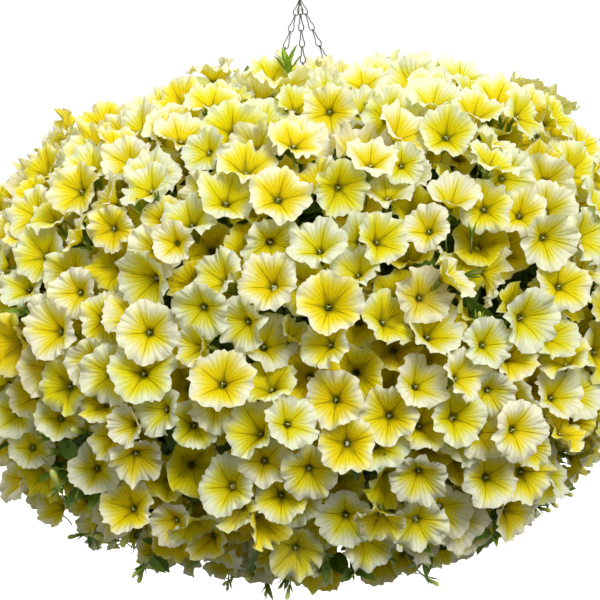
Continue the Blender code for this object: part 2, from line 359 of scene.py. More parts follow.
def aside_at(axes, angle):
    """The way at an angle round the third of the axes."""
    return math.cos(angle) * axes[0] + math.sin(angle) * axes[1]


calyces, stems, stamens, buds = ([Pile() for _ in range(PLANTS)] for _ in range(4))


# ------------------------------------------------------------------ flowers
# The corolla's outline from the foot of its tube to its margin: radius and depth, over the flower's radius.
# The throat narrows quickly to the tube, so that nothing behind the flower shows in it.
OUTLINE = [(0.080, -1.22), (0.072, -0.92), (0.078, -0.70), (0.13, -0.585), (0.20, -0.495), (0.32, -0.365)]
LIP = [(0.45, -0.250), (0.60, -0.142), (0.75, -0.062), (0.885, -0.018), (1.0, -0.014)]
# Over the flower's radius: where its tube ends, where the lip's edge and its rim begin, and the rim's width.
TUBE_EDGE, EDGE_FROM, RIM_FROM, RIM_WIDTH = 0.16, 0.5, 0.84, 0.16
NOTCH_WIDTH, NOTCH_DEPTHS, NOTCH_SAG = 0.13, (0.02, 0.12), 0.035  # between the lobes
GROOVE_WIDTH, GROOVE_DEPTH = 0.10, 0.050  # along the midribs
LOBE_REACH = 0.014
TEETH_OUT, TEETH_UP = 0.024, 0.022  # the margin's fine unevenness
TUBE_BENDS_FROM, TUBE_BEND = 0.50, 0.9
FOOT_POINTS = 8
WARP_ORDERS = np.array([1, 2, 3, 5])
WARP_SIZES = np.array([0.050, 0.075, 0.050, 0.028])
SAMPLE_RINGS = ((1.0, 20), (0.80, 12), (0.55, 7), (0.30, 4))
SAMPLE_RHO = np.concatenate([np.full(count, rho) for rho, count in SAMPLE_RINGS])
SAMPLE_ANGLE = np.concatenate([circle(count) + rho for rho, count in SAMPLE_RINGS])

OUTER_TRIES, OUTER_SPACING = 26000, 0.0329
INNER_TRIES, INNER_SPACING, INNER_TO_OUTER = 9000, 0.0385, 0.0186
FLOWER_RADIUS, RADIUS_SPREAD, SMALLEST, LARGEST = 0.0273, 0.0022, 0.0212, 0.0312
YOUNG_SHARE, WORN_SHARE = 0.07, 0.05
# how many degrees flowers look up, at degrees from the top of the mound
LIFTS = (0, 30, 50, 72, 95, 115, 150), (58, 50, 41, 29, 17, 6, -12)
CREST_END, CREST_LEAN, SIDE_TURN = 52, 0.8, 0.42  # how far flowers turn to the light on the crest and below
FACING_SPREAD = 0.37
LIP_GAP = 0.0022  # flowers that overlap stay this far apart
DEEPEST_PUSH = 0.018
MOST_OUT, MOST_IN = 0.012, 0.030  # how far a flower may be pushed from where it grew
PUSH, TWIST, LOOK_BACK, STAY_NEAR = 1.1, 2.0, 0.03, 0.985  # how strongly flowers push, turn and return
FIRST_ROUNDS, LAST_ROUNDS = 40, 30
CROSSING_LIMIT = 0.0025  # flowers that still cross another by more than this are left out
PRESS_GAP, PRESS_DEPTH = 0.0017, 0.012
FLOWER_REACH = 0.023  # no petal stands further out than this from the even mound
PEDICEL = 0.0007


def corolla_grid(rings, counts):
    """Radius, depth and angle of each point of an even corolla, and its faces."""
    rows, faces, start = [], [], 0
    for k, ((radius, depth), count) in enumerate(zip(rings, counts)):
        rows.append(np.stack([np.full(count, radius), np.full(count, depth), circle(count)], axis=1))
        if k:
            faces += ring_faces(start - counts[k - 1], counts[k - 1], start, count)
        start += count
    faces = np.array(faces)
    quads = faces[:, 3] >= 0
    faces[quads] = faces[quads][:, ::-1]
    faces[~quads] = faces[~quads][:, [0, 2, 1, 3]]
    return (*np.concatenate(rows).T, faces)


FINE = corolla_grid(OUTLINE + LIP, (FOOT_POINTS, 8, 8, 16, 16, 16, 32, 32, 64, 64, 64))
COARSE = corolla_grid(OUTLINE[1::2] + LIP[1::2] + LIP[4:], (10, 10, 10, 20, 20, 40))


def waves(rng, angle, orders, size):
    """A random ripple round a circle, made of a few orders."""
    phases = rng.uniform(0, math.tau, len(orders))
    sizes = rng.uniform(0.5, 1.0, len(orders)) * size / math.sqrt(len(orders))
    return sum(s * np.cos(n * angle + p) for n, p, s in zip(orders, phases, sizes))


def lip_height(rho):
    """How far a corolla's surface lies under its margin, over its radius."""
    rings = np.array(OUTLINE[3:] + LIP)
    return np.interp(rho, rings[:, 0], rings[:, 1])


def spread_out(rho):
    """From 0 at the tube to 1 at the margin."""
    return np.maximum(0, (rho - TUBE_EDGE) / (1 - TUBE_EDGE))


def warped_height(rho, angle, cup, sizes, phases):
    """The lip's height with its own low waves, which are given for each flower."""
    wave = (sizes * np.cos(WARP_ORDERS * angle[..., None] + phases)).sum(-1)
    return lip_height(rho) * cup + spread_out(rho) ** 2 * wave


def over_lip(at, radius, cup, sizes, phases):
    """How far points, in a flower's own axes, stand over its surface, and how far out they are."""
    rho = np.hypot(at[..., 0], at[..., 1]) / radius
    angle = np.arctan2(at[..., 1], at[..., 0])
    return at[..., 2] - warped_height(rho, angle, cup, sizes, phases) * radius, rho


def shape_of(kind, which):
    return (kind[key][which] for key in ("radius", "cup", "sizes", "phases"))


def corolla(rng, grid, radius, cup, sizes, phases, ruffle, curl, bend):
    """Points, faces and unrolled places of one corolla, facing +Z, its margin about the origin."""
    r, z, angle, faces = grid
    turn = rng.uniform(0, math.tau)
    lobe_place = ((angle - turn) * 5 / math.tau) % 5
    from_mid = lobe_place - np.floor(lobe_place + 0.5)
    notch = np.exp(-(((np.abs(from_mid) - 0.5) / NOTCH_WIDTH) ** 2))
    notch_size = rng.uniform(*NOTCH_DEPTHS, 5)[np.floor(lobe_place).astype(int) % 5]
    groove = np.exp(-((from_mid / GROOVE_WIDTH) ** 2))
    out = spread_out(r)
    edge = np.maximum(0, (r - EDGE_FROM) / (1 - EDGE_FROM)) ** 2
    rim = np.maximum(0, (r - RIM_FROM) / RIM_WIDTH)
    teeth = rng.normal(0, 1, (2, len(r)))
    outline = waves(rng, angle, (2, 3, 4, 7, 9), 0.060) + waves(rng, angle, (13, 17, 22, 26), 0.026)
    reach = 1 + edge * (outline - notch_size * notch + LOBE_REACH * np.cos(math.tau * from_mid))
    reach += rim * TEETH_OUT * teeth[0]
    height = warped_height(r, angle, 1.0, sizes, phases) - lip_height(r) + z * cup
    ripple = waves(rng, angle, (5, 6, 8, 11, 13), 0.155 * ruffle) + waves(rng, angle, (16, 19, 23), 0.06)
    height += out**3 * ripple
    height -= GROOVE_DEPTH * groove * np.sin(math.pi * np.minimum(out * 1.15, 1)) - NOTCH_SAG * notch * out**2
    height += curl * edge + rim * TEETH_UP * teeth[1]
    along_tube = np.maximum(0, -z - TUBE_BENDS_FROM) ** 2 * TUBE_BEND
    points = round_axis(r * reach, angle, height)
    points[:, :2] += along_tube[:, None] * bend[:2]
    return radius * points, faces, 0.5 + 0.5 * round_axis(r, angle - turn)[:, :2]


def facings_of(rng, polar, azimuth, spread):
    """Flowers look outwards, up and to the light, and nearly level low on the mound, each its own way."""
    degrees = np.degrees(polar)
    lift = np.radians(np.interp(degrees, *LIFTS))
    crest = np.clip(1 - degrees / CREST_END, 0, 1)[:, None]
    outward = unit(round_axis(1.0, azimuth) * (1 - CREST_LEAN * crest) + BRIGHT_SIDE * crest)
    turn = SIDE_TURN * np.clip(outward @ BRIGHT_SIDE + 0.6, 0, 0.5) / 0.5
    outward = unit(outward + BRIGHT_SIDE * turn[:, None])
    wander = rng.normal(0, spread, (len(polar), 3))
    return unit(outward * np.cos(lift)[:, None] + UP * np.sin(lift)[:, None] + wander)


def crossings(kind, places, axes, samples, mine, other, sign):
    """How deep each of flower mine's samples is on the wrong side of flower other's surface. sign is -1 where
    mine belongs behind the other, and 1 where it belongs in front."""
    at = np.einsum("psx,pix->psi", samples[mine] - places[other][:, None], axes[other])
    over, rho = over_lip(at, *(value[:, None] for value in shape_of(kind, other)))
    return over, np.clip(LIP_GAP - sign * over, 0, DEEPEST_PUSH) * (rho < 1.05)


def jostle(kind, places, facings, normals, rounds):
    """Flowers push one another in depth and tilt, until hardly any two cross. Gives what is left of each
    flower's crossings too, and which flowers are before which."""
    radii = kind["radius"]
    cup, sizes, phases = (kind[key][:, None] for key in ("cup", "sizes", "phases"))
    flat = round_axis(SAMPLE_RHO, SAMPLE_ANGLE)[:, :2]
    rise = warped_height(SAMPLE_RHO[None], SAMPLE_ANGLE[None], cup, sizes, phases)
    local = np.concatenate([np.broadcast_to(flat, (len(radii), *flat.shape)), rise[..., None]], axis=2)
    home, faced = places.copy(), facings.copy()
    gaps = np.linalg.norm(places[:, None] - places[None], axis=2)
    first, second = np.nonzero(np.triu(gaps < radii[:, None] + radii[None], 1))
    for step in range(rounds + 1):
        axes = frames(facings)
        samples = places[:, None] + radii[:, None, None] * np.einsum("nsk,nkx->nsx", local, axes)
        if step == 0:
            before = []
            for mine, other in ((first, second), (second, first)):
                over, wrong = crossings(kind, places, axes, samples, mine, other, 1)
                before.append((over * (wrong > 0)).sum(1) + kind["ahead"][mine])
            ahead = before[0] > before[1]
            front, back = np.where(ahead, first, second), np.where(ahead, second, first)
        move, turn, touches = np.zeros_like(places), np.zeros_like(places), np.ones(len(places))
        left = np.zeros(len(places))
        for mine, other, sign in ((back, front, -1.0), (front, back, 1.0)):
            wrong = crossings(kind, places, axes, samples, mine, other, sign)[1]
            if sign > 0:
                wrong = wrong * (SAMPLE_RHO > 0.7)  # the front flower's throat may reach in behind the other
            worst = wrong.max(1)
            np.maximum.at(left, back, worst - LIP_GAP)
            push = sign * facings[other] * worst[:, None]
            arm = samples[mine] - places[mine][:, None]
            twist = np.cross(arm, sign * facings[other][:, None] * wrong[..., None]).mean(1)
            np.add.at(turn, mine, twist / radii[mine][:, None] ** 2)
            for which, share in ((mine, 0.5), (other, -0.5)):
                np.add.at(move, which, share * push)
                np.add.at(touches, which, worst > 1e-5)
        if step == rounds:
            return places, facings, left, (front, back)
        places = places + PUSH * move / np.sqrt(touches)[:, None]
        facings = unit(facings + np.cross(TWIST * turn, facings) + LOOK_BACK * (faced - facings))
        gone = (places - home) * STAY_NEAR
        out = (gone * normals).sum(1)
        places = home + gone
        places -= normals * (np.maximum(out - MOST_OUT, 0) + np.minimum(out + MOST_IN, 0))[:, None]


def place_flowers():
    """Every flower's place, facing and shape; the first ones are the outer ones, in full detail."""
    rng = seeded("flowers")
    polar, azimuth = scatter(rng, OUTER_TRIES, OUTER_SPACING, 3, 149)
    degrees = np.degrees(polar)
    # the clearings stay open on the skirt, where flowers are sparser too, and nearly close higher up
    room = clearing(on_mound(polar, azimuth)) * np.interp(degrees, (40, 95, 112), (0.06, 0.12, 0.95))
    filled = rng.random(len(polar)) > room + np.interp(degrees, (95, 116), (0.03, 0.20))
    polar, azimuth = polar[filled], azimuth[filled]
    outer = len(polar)
    depth = rng.uniform(-0.005, 0.010, outer) * np.interp(np.degrees(polar), (100, 130), (1.0, 1.8))
    # inner flowers show between the outer ones
    more = scatter(rng, INNER_TRIES, INNER_SPACING, 6, 140, on_mound(polar, azimuth), INNER_TO_OUTER)
    filled = rng.random(len(more[0])) > 0.6 * clearing(on_mound(*more))
    more = [values[filled] for values in more]
    polar, azimuth = (np.concatenate(pair) for pair in zip((polar, azimuth), more))
    count = len(polar)
    depth = np.concatenate([depth, rng.uniform(0.014, 0.025, len(more[0]))])
    radius = np.clip(rng.normal(FLOWER_RADIUS, RADIUS_SPREAD, count), SMALLEST, LARGEST)
    young = rng.random(count) < YOUNG_SHARE
    radius[young] *= rng.uniform(0.60, 0.80, young.sum())
    worn = ~young & (rng.random(count) < WORN_SHARE)
    fine = np.arange(count) < outer
    kind = {
        "radius": radius,
        "young": young,
        "worn": worn,
        "cup": np.where(young, rng.uniform(1.2, 1.6, count), rng.uniform(0.72, 1.20, count)),
        "sizes": rng.normal(0, 1, (count, 4)) * WARP_SIZES,
        "phases": rng.uniform(0, math.tau, (count, 4)),
        "ahead": np.where(fine, 0.0, -0.5),
        "fine": fine,
    }
    normals = mound_normal(polar, azimuth)
    facings = facings_of(rng, polar, azimuth, FACING_SPREAD)
    # flowers that are tilted to the mound stand deeper in it, so that their high side doesn't stick out
    tilt = np.sqrt(np.clip(1 - (facings * normals).sum(1) ** 2, 0, 1))
    places = grown(polar, azimuth, 0.003 + depth + 0.8 * radius * tilt)
    places, facings, left, _ = jostle(kind, places, facings, normals, FIRST_ROUNDS)
    # those that still cross a flower before them go, and the rest settle into the room
    kept = left < CROSSING_LIMIT
    kind = {key: values[kept] for key, values in kind.items()}
    places, facings, _, pairs = jostle(kind, places[kept], facings[kept], normals[kept], LAST_ROUNDS)
    return {**kind, "place": places, "facing": facings, "pairs": list(zip(*pairs))}


def add_calyx(plant, rng, foot, forward, size, tone):
    """Five narrow sepals that hold the foot of a flower or a bud."""
    axes = frames(forward, np.array([0.3, 0.4, 0.85]))
    steps = np.array([-0.12, 0.45, 1.0]) * size
    lean = np.array([0.09, 0.32, 0.62]) * size
    for i in range(5):
        aside = aside_at(axes, i * math.tau / 5 + rng.uniform(-0.15, 0.15))
        path = foot + np.outer(steps * rng.uniform(0.85, 1.15), axes[2]) + np.outer(lean, aside)
        calyces[plant].add(*strip(path, np.array([0.13, 0.27, 0.03]) * size, np.tile(aside, (3, 1))), tone)


def add_pedicel(plant, foot, forward, target, tone):
    path = curve_through([foot, foot - forward * 0.008, target], 1)
    stems[plant].add(*tube(path, np.array([1.5, 1, 1]) * PEDICEL, 4), tone)


def add_stamens(plant, rng, place, axes, radius, cup):
    """The stigma and the anthers that stand in the throat."""
    deep = -0.575 * radius * cup
    tip = place + axes[2] * (deep + 0.06 * radius)
    path = tip + np.outer([-0.0022, -0.0007, 0.0004, 0.0012], axes[2])
    stamens[plant].add(*tube(path, [0.0004, 0.0008, 0.0009, 0.0003], 4), (0.9, 0.5, rng.random(), 0))
    for i in range(3):
        aside = aside_at(axes, i * math.tau / 3 + rng.uniform(-0.5, 0.5))
        middle = place + axes[2] * (deep + rng.uniform(0.0, 0.06) * radius) + aside * 0.0017
        ends = middle + np.outer([-0.0007, 0, 0.0007], unit(aside + axes[2]))
        shade = (rng.uniform(0.1, 0.6), 0.3, rng.random(), 0)
        stamens[plant].add(*tube(ends, [0.0003, 0.0006, 0.0003], 3), shade)


def press_back(corollas, axes):
    """Where a corolla's lip would come through the flower before it, it gives way behind that flower."""
    for front, back in flowers["pairs"]:
        points, rho_of_points = corollas[back][0], corollas[back][3]
        at = (points - flowers["place"][front]) @ axes[front].T
        over, rho = over_lip(at, *shape_of(flowers, front))
        excess = over + PRESS_GAP
        pressed = (rho < 1.03) & (excess > 0) & (excess < PRESS_DEPTH) & (rho_of_points > 0.3)
        points -= np.outer(excess * pressed, axes[front][2])


def flower_list():
    return enumerate(zip(*(flowers[key] for key in ("place", "radius", "cup", "fine", "young", "worn"))))


def build_flowers():
    rng = seeded("corollas")
    petals = {(plant, tier): Pile() for plant in range(PLANTS) for tier in BLOOM_TIERS}
    all_axes = frames(flowers["facing"])
    corollas, bends = [], []
    for i, (place, radius, cup, fine, young, worn) in flower_list():
        axes = all_axes[i]
        bend = (axes @ (unit(-normal_at(place) - 0.4 * UP) + axes[2])).clip(-0.8, 0.8)
        ruffle = 2.3 if worn else rng.uniform(0.7, 1.5)
        curl = rng.uniform(0.02, 0.20) if young or worn else rng.uniform(-0.12, 0.07)
        grid = FINE if fine else COARSE
        shape = (radius, cup, flowers["sizes"][i], flowers["phases"][i], ruffle, curl, bend)
        points, faces, flat = corolla(rng, grid, *shape)
        points = place + points @ axes
        beyond = max(float(np.hypot(points[:, 0], points[:, 1]).max()) - MOUND_RADIUS - FLOWER_REACH, 0.0)
        inward = -beyond * unit(place * [1.0, 1.0, 0.0])
        place += inward  # a row of flowers["place"], so that the flower itself moves
        corollas.append((points + inward, faces, flat, grid[0]))
        bends.append(bend)
    press_back(corollas, all_axes)
    for i, (place, radius, cup, fine, young, worn) in flower_list():
        points, faces, flat, _ = corollas[i]
        axes, bend, plant = all_axes[i], bends[i], plant_of(place)
        # painted light and shade: besides a random share, margins are painted paler where the light reaches
        # the mound most, and inner flowers in shade yellower
        sunny = float(np.clip(unit(place - [0.0, 0.0, MOUND_MIDDLE]) @ SUNNY, 0, 1))
        paleness_and_painted_light = rng.uniform(0.14 + 0.42 * sunny, 1.0) if fine else rng.uniform(0.0, 0.30)
        tone = (rng.random(), paleness_and_painted_light, rng.random(), 1.0 if worn else rng.uniform(0, 0.6))
        petals[plant, tier_of(place, BLOOM_TIERS)].add(points, faces, flat, tone)
        foot = points[:FOOT_POINTS].mean(0)
        forward = unit(axes[2] - 0.8 * (bend[0] * axes[0] + bend[1] * axes[1]))
        shade = (*rng.random(3), 0.3)
        if fine:
            add_calyx(plant, rng, foot, forward, 0.45 * radius, shade)
            if not young:
                add_stamens(plant, rng, place, axes, radius, cup)
        inward = unit(-normal_at(place) - 0.4 * UP)
        add_pedicel(plant, foot, forward, foot + inward * rng.uniform(0.020, 0.032), shade)
    return petals


# ------------------------------------------------------------------ what grows between the flowers
LEAF_STEPS = np.array([-0.16, 0.0, 0.16, 0.38, 0.62, 0.84, 1.0])
LEAF_OUTLINE = np.array([0.10, 0.16, 0.72, 1.0, 0.86, 0.45, 0.03])
LEAF_GAP = 0.0018  # leaves and buds stay this far behind the petals
LEAF_TRIES, LEAF_SPACING = 42000, 0.0098
DEEP_LEAF_TRIES, DEEP_LEAF_SPACING = 22000, 0.0145
SMALL_LEAVES = ((0.014, 0.085), (0.020, 0.038))  # how deep in the mound they stand, and how long they are
LARGE_LEAVES = ((0.085, 0.135), (0.034, 0.048))
BUD_TRIES, BUD_SPACING = 9000, 0.0150
BUD_SIZES, BUD_SHARES = (0.012, 0.018, 0.026), (0.4, 0.35, 0.25)
SPROUT_SIZE = 0.024
BUD_STEPS = np.array([0, 0.25, 0.5, 0.7, 0.85, 0.95, 1.0])
BUD_OUTLINE = np.array([0.055, 0.065, 0.095, 0.135, 0.125, 0.08, 0.02])
FRINGE_SHOOTS, MAIN_STEMS = 64, 13


def clear_of_flowers(points):
    """Whether each row of points stays behind every corolla or beside it."""
    places, radii, axes = flowers["place"], flowers["radius"], frames(flowers["facing"])
    clear = np.full(len(points), True)
    for part in range(0, len(points), CHUNK):
        offsets = points[part : part + CHUNK][:, :, None] - places[None, None]
        row, point, flower = np.nonzero((offsets**2).sum(3) < (radii * 1.25) ** 2)
        at = np.einsum("px,pix->pi", offsets[row, point, flower], axes[flower])
        over, rho = over_lip(at, *shape_of(flowers, flower))
        clear[part + row[(rho < 1.06) & (over > -LEAF_GAP)]] = False
    return clear


def leaf(rng, base, direction, normal, length, width, curl):
    """One ovate leaf from its stalk to its tip, folded along the midrib and curled down."""
    direction = unit(direction)
    normal = unit(normal - np.dot(normal, direction) * direction)
    rise = np.maximum(LEAF_STEPS, 0) ** 2
    drop = -curl * rise + rng.uniform(-0.05, 0.05) * np.sin(LEAF_STEPS * 5)
    sway = rng.uniform(-0.12, 0.12) * rise
    across = np.cross(direction, normal)
    path = base + length * (np.outer(LEAF_STEPS, direction) + np.outer(drop, normal) + np.outer(sway, across))
    twist = rng.uniform(-0.5, 0.5) * LEAF_STEPS
    normals = np.outer(np.cos(twist), normal) + np.outer(np.sin(twist), across)
    return strip(path, LEAF_OUTLINE * width, normals, fold=rng.uniform(0.06, 0.20))


def mound_leaf(rng, polar, azimuth, depth, ways, lengths, widths, most_curl):
    """A leaf in the mound, and its shades. ways says how much it points outwards, up and anyhow, and how
    much its face looks up; widths are over its length, and a single one is every leaf's."""
    out, up, anyhow, face_up = ways
    normal = mound_normal(polar, azimuth)
    direction = out * normal + up * UP + rng.normal(0, anyhow, 3)
    face = normal + face_up * UP + rng.normal(0, 0.35, 3)
    length = rng.uniform(*lengths)
    width = length * (rng.uniform(*widths) if len(widths) > 1 else widths[0])
    base = grown(polar, azimuth, depth)
    return leaf(rng, base, direction, face, length, width, rng.uniform(0.0, most_curl)), (*rng.random(3), 1.0)


def build_leaves():
    """Leaves fill the mound under the flowers and come up where there is room between them."""
    rng = seeded("leaves")
    piles = {(plant, tier): Pile() for plant in range(PLANTS) for tier in LEAF_TIERS}
    made = []
    for i, (p, a) in enumerate(zip(*scatter(rng, LEAF_TRIES, LEAF_SPACING, 2, 152))):
        depths, lengths = SMALL_LEAVES if i % 6 else LARGE_LEAVES
        depth = rng.uniform(*depths)
        made.append(mound_leaf(rng, p, a, depth, (0.55, 0.4, 0.75, 0.7), lengths, (0.42, 0.60), 0.45))
    # more large leaves deep in the mound, so that nothing shows through it
    for p, a in zip(*scatter(rng, DEEP_LEAF_TRIES, DEEP_LEAF_SPACING, 12, 153)):
        depth = rng.uniform(0.050, 0.130)
        made.append(mound_leaf(rng, p, a, depth, (0.4, -0.1, 0.8, 0.3), (0.040, 0.056), (0.60,), 0.4))
    clear = clear_of_flowers(np.stack([shape[0] for shape, _ in made]))
    for shape, tone in itertools.compress(made, clear):
        place = shape[0][4]
        piles[plant_of(place), tier_of(place, LEAF_TIERS)].add(*shape, tone)
    return piles


def add_bud(rng, foot, direction, size, plant):
    """A furled bud in its calyx: a slim tube that swells to a pleated, twisted tip."""
    length = size * rng.uniform(0.9, 1.2)
    side = unit(np.cross(direction, [0.2, 0.3, 0.9]))
    path = foot + np.outer(BUD_STEPS * length, direction) + np.outer(0.10 * length * BUD_STEPS**2, side)
    phase = rng.uniform(0, 6)

    def pleats(turn, i):
        return 1 + 0.13 * np.cos(5 * turn + phase + 0.5 * i) * min(i / 3, 1)

    shade = (*rng.random(3), 0.9)
    buds[plant].add(*tube(path, BUD_OUTLINE * size, 10, pleats), shade)
    add_calyx(plant, rng, foot, direction, rng.uniform(0.008, 0.012), shade)
    add_pedicel(plant, foot, direction, foot - direction * 0.014 - UP * 0.004, shade)


def add_sprout(rng, base, direction, size, plant, leaves=6):
    """A shoot tip: narrow young leaves about a short stem."""
    axes = frames(direction, np.array([0.5, 0.2, 0.8]))
    path = [base - direction * size * 0.3, base, base + direction * size * 0.55]
    stems[plant].add(*tube(path, [0.0012, 0.0011, 0.0006], 5), (0.6, 0.5, 0.5, 0.9))
    for i in range(leaves):
        aside = aside_at(axes, i * 2.4 + rng.uniform(-0.3, 0.3))
        start = base + direction * size * (0.1 + 0.45 * i / leaves)
        heading = direction * rng.uniform(0.9, 1.3) + aside * rng.uniform(0.5, 1.0)
        length = size * rng.uniform(0.55, 0.85)
        curl = rng.uniform(0.0, 0.25)
        shape = leaf(rng, start, heading, direction - 0.3 * aside, length, length * 0.26, curl)
        calyces[plant].add(*shape, (*rng.random(3), 0.9))


def build_gap_growth():
    """Buds and shoot tips in the gaps between the flowers."""
    rng = seeded("buds")
    polar, azimuth = scatter(rng, BUD_TRIES, BUD_SPACING, 4, 150)
    normals = mound_normal(polar, azimuth)
    inset = rng.uniform(0.004, 0.020, len(polar))
    directions = unit(0.9 * normals + 0.5 * UP + rng.normal(0, 0.35, normals.shape))
    sizes = rng.choice(BUD_SIZES, len(polar), p=BUD_SHARES)
    tips = grown(polar, azimuth, inset)
    # places from the foot to the tip, over the bud's size, and two more along its stalk, in metres
    steps = np.array([[-0.9, 0.0], [-0.45, 0.0], [0.0, 0.0], [-0.9, -0.008], [-0.9, -0.016]])
    along = steps[:, 0] * sizes[:, None] + steps[:, 1]
    lines = tips[:, None] + along[..., None] * directions[:, None]
    for k, i in enumerate(np.nonzero(clear_of_flowers(lines))[0]):
        plant = plant_of(tips[i])
        if k % 6 == 5:  # one in six is a shoot tip
            add_sprout(rng, lines[i, 0], directions[i], SPROUT_SIZE, plant)
        else:
            add_bud(rng, lines[i, 0], directions[i], sizes[i], plant)


def build_fringe(piles):
    """Shoots that trail out of the skirt, with a few leaves each and a bud on about half of them."""
    rng = seeded("fringe")
    for i in range(FRINGE_SHOOTS):
        azimuth = (i + rng.uniform(-0.4, 0.4)) * math.tau / FRINGE_SHOOTS
        polar = math.radians(rng.uniform(128, 152))
        outward = round_axis(1.0, azimuth)
        start = grown(polar, azimuth, 0.035)
        heading = unit(outward * rng.uniform(0.2, 0.9) - UP * rng.uniform(0.5, 1.0) + rng.normal(0, 0.2, 3))
        length = rng.uniform(0.030, 0.052)
        end = start + heading * length + UP * 0.004
        sagging = start + heading * length * 0.6 - UP * 0.003
        path = curve_through([start - heading * 0.02, start, sagging, end], 2)
        plant = plant_of(start)
        stems[plant].add(*tube(path, np.linspace(0.0013, 0.0007, len(path)), 5), (0.3, 0.5, 0.5, 0.5))
        for k in range(int(rng.integers(3, 6))):
            base = start + (end - start) * (0.15 + 0.2 * k)
            direction = heading + rng.normal(0, 0.9, 3)
            size = rng.uniform(0.015, 0.028)
            face = outward + 0.6 * UP + rng.normal(0, 0.4, 3)
            shape = leaf(rng, base, direction, face, size, size * rng.uniform(0.38, 0.55), 0.3)
            piles[plant, "lower"].add(*shape, (rng.uniform(0.3, 1.0), *rng.random(2), 0.2))
        if rng.random() < 0.5:
            add_bud(rng, end, unit(heading + 0.5 * UP), rng.uniform(0.012, 0.020), plant)


def build_stems():
    """Each plant's crown, and the stems that arch over the rim and out to the leaves."""
    rng = seeded("stems")
    for plant in range(PLANTS):
        middle = plant * SECTOR
        crown = round_axis(CROWN_RADIUS, middle, SOIL_TOP - 0.004)
        for share in np.linspace(-0.5, 0.5, MAIN_STEMS):
            heading = middle + share * 0.92 * SECTOR + rng.uniform(-0.05, 0.05)
            polar = math.radians(rng.uniform(20, 140))
            end = on_mound(polar, heading, rng.uniform(0.045, 0.07))
            out = round_axis(1.0, heading)
            over = out * rng.uniform(0.165, 0.20) + UP * (RIM_HEIGHT + rng.uniform(0.02, 0.07))
            if polar < 1.2:  # a stem that stands up goes straight to its leaves
                over = crown * 0.4 + end * 0.6 + UP * 0.01
            path = curve_through([crown - UP * 0.012, crown + UP * 0.02 + out * 0.01, over, end], 5)
            path += 0.002 * np.sin(np.arange(len(path))[:, None] * [1.1, 0.9, 1.3] + rng.uniform(0, 6, 3))
            shape = tube(path, np.linspace(0.0031, 0.0013, len(path)), 6)
            stems[plant].add(*shape, (0.2, 0.5, rng.random(), 0.1))


# ------------------------------------------------------------------ basket, liner, potting mix and chains
def basket_outline(inset, angles):
    """(radius, height) of the bowl at angles from its rim, 0, down to its base, moved inwards by inset."""
    radius = (RIM_RADIUS - inset) * np.cos(angles) ** (2 / BASKET_POWER)
    height = RIM_HEIGHT - (BASKET_DEPTH - inset) * np.sin(angles) ** (2 / BASKET_POWER)
    return radius, height


def build_wire_basket():
    pile = Pile()
    pile.add(*loop_tube(round_axis(RIM_RADIUS, circle(72), RIM_HEIGHT), RIM_WIRE, 10))
    bite = 0.0009  # how far the ribs are welded into the rim
    radius, height = basket_outline(RIM_WIRE + RIB_WIRE - bite, np.radians(np.linspace(0, RIB_END, 24)))
    for i in range(RIBS):
        pile.add(*tube(round_axis(radius, (i + 0.5) * math.tau / RIBS, height), RIB_WIRE, 8))
    for degrees in HOOPS:
        radius, height = basket_outline(0.0, math.radians(degrees))
        pile.add(*loop_tube(round_axis(radius + 0.0002, circle(60), height - 0.0002), HOOP_WIRE, 8))
    return pile


def turned_pile(outline, segments, size, amount, seed):
    """A closed turned surface, made lumpy by waves in many directions."""
    pile = Pile()
    radius, height = np.asarray(outline, float).T[..., None]
    places = round_axis(radius, circle(segments), height).reshape(-1, 3)
    rng = np.random.default_rng(seed)
    waves_at = rng.normal(0, 1, (14, 3)) / size
    phases = rng.uniform(0, 6.28, 14)
    ways = unit(rng.normal(0, 1, (14, 3)))
    places = places + amount * np.sin(places @ waves_at.T + phases) @ ways / 2.5
    pile.add(places, tube_faces(len(radius), segments), unrolled(segments, np.linspace(0, 1, len(radius))))
    return pile


def build_liner():
    """A felt of coir: a lumpy bowl with loose fibres over it."""
    angles = np.radians(np.concatenate([np.linspace(1.5, 60, 18), np.linspace(64, 88, 9)]))
    outer = np.stack(basket_outline(LINER_INSET, angles), axis=1)
    inner = np.stack(basket_outline(LINER_INSET + LINER_THICKNESS, angles[:10]), axis=1)[::-1]
    pile = turned_pile(np.vstack([inner, outer])[::-1], 110, 0.004, 0.0007, 3)
    rng = seeded("coir")
    for _ in range(FIBRES):
        angle, around = math.asin(rng.uniform(0, 0.98)), rng.uniform(0, math.tau)
        radius, height = basket_outline(LINER_INSET - 0.0004, max(angle, 0.03))
        place = round_axis(radius, around, height)
        outward = unit(place - UP * (RIM_HEIGHT - 0.05))
        heading = unit(np.cross(outward, rng.normal(0, 1, 3)))
        length = rng.uniform(0.008, 0.024)
        bow = np.cross(outward, heading) * rng.uniform(-0.35, 0.35)
        path = [
            place + length * (t * heading + t * t * bow) + outward * rng.uniform(-0.0002, 0.0008)
            for t in (-0.5, -0.1, 0.25, 0.5)
        ]
        pile.add(*tube(path, [0.00012, 0.0002, 0.0002, 0.0001], 3), (*rng.random(2), 0.5, 0.5))
    return pile


